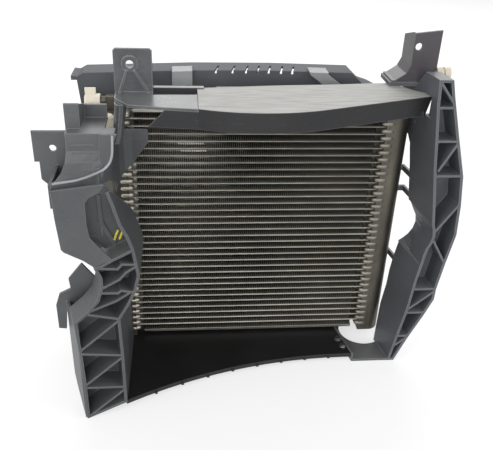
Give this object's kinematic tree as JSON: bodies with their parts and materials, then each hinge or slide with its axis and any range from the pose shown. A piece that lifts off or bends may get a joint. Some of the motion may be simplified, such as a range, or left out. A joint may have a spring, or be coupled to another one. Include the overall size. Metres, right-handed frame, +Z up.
{
  "type": "auxiliary radiator",
  "caption": "Small flat-tube radiator in a moulded duct with braced side walls, a visor along the top, a rear frame, capped ports and two upright fixing brackets.",
  "frame": {"origin": "middle of the rear frame's bottom face, on the plane that the part stands on", "axes": "+X along the core's tubes towards the side with the hose opening, +Y back through the core, +Z up"},
  "size_m": [0.392, 0.1762, 0.348],
  "materials": {
    "moulded_plastic": "satin",
    "frame_plastic": "satin",
    "visor_plastic": "satin",
    "bracket_paint": "satin",
    "core_aluminium": "satin",
    "fin_aluminium": "satin",
    "tank_aluminium": "satin",
    "cap_plastic": "satin",
    "bush_nylon": "satin",
    "mount_rubber": "matte",
    "dark_foam": "matte",
    "pale_foam": "matte",
    "screw_steel": "satin",
    "clip_steel": "satin"
  },
  "bodies": {
    "radiator": {"core_tubes": "core_aluminium", "core_fins": "fin_aluminium", "top_side_plate": "core_aluminium", "bottom_side_plate": "core_aluminium", "left_header": "tank_aluminium", "right_header": "tank_aluminium", "left_tank": "tank_aluminium", "right_tank": "tank_aluminium", "left_tank_caps": "tank_aluminium", "right_tank_caps": "tank_aluminium", "lower_port": "tank_aluminium", "upper_port": "tank_aluminium", "core_lugs": "tank_aluminium", "core_grommets": "mount_rubber", "core_screws": "screw_steel", "rear_frame": "frame_plastic", "guide_screws": "screw_steel", "frame_clips": "clip_steel", "floor_panel": "moulded_plastic", "left_truss": "moulded_plastic", "left_air_guide": "moulded_plastic", "left_bracket": "visor_plastic", "upper_air_guide": "visor_plastic", "right_air_guide": "moulded_plastic", "right_bracket": "bracket_paint", "locating_bush": "bush_nylon", "left_foam_seal": "dark_foam", "lower_foam_seal": "dark_foam", "upper_foam_seal": "pale_foam"},
    "lower_cap": {"lower_port_cap": "cap_plastic"},
    "upper_cap": {"upper_port_cap": "cap_plastic"}
  },
  "joints": [
    {"name": "lower_cap_pull", "type": "slide", "parent": "radiator", "child": "lower_cap", "axis": [0, 0, 1], "range_m": [0, 0.022]},
    {"name": "upper_cap_pull", "type": "slide", "parent": "radiator", "child": "upper_cap", "axis": [-1, 0, 0], "range_m": [0, 0.022]}
  ]
}
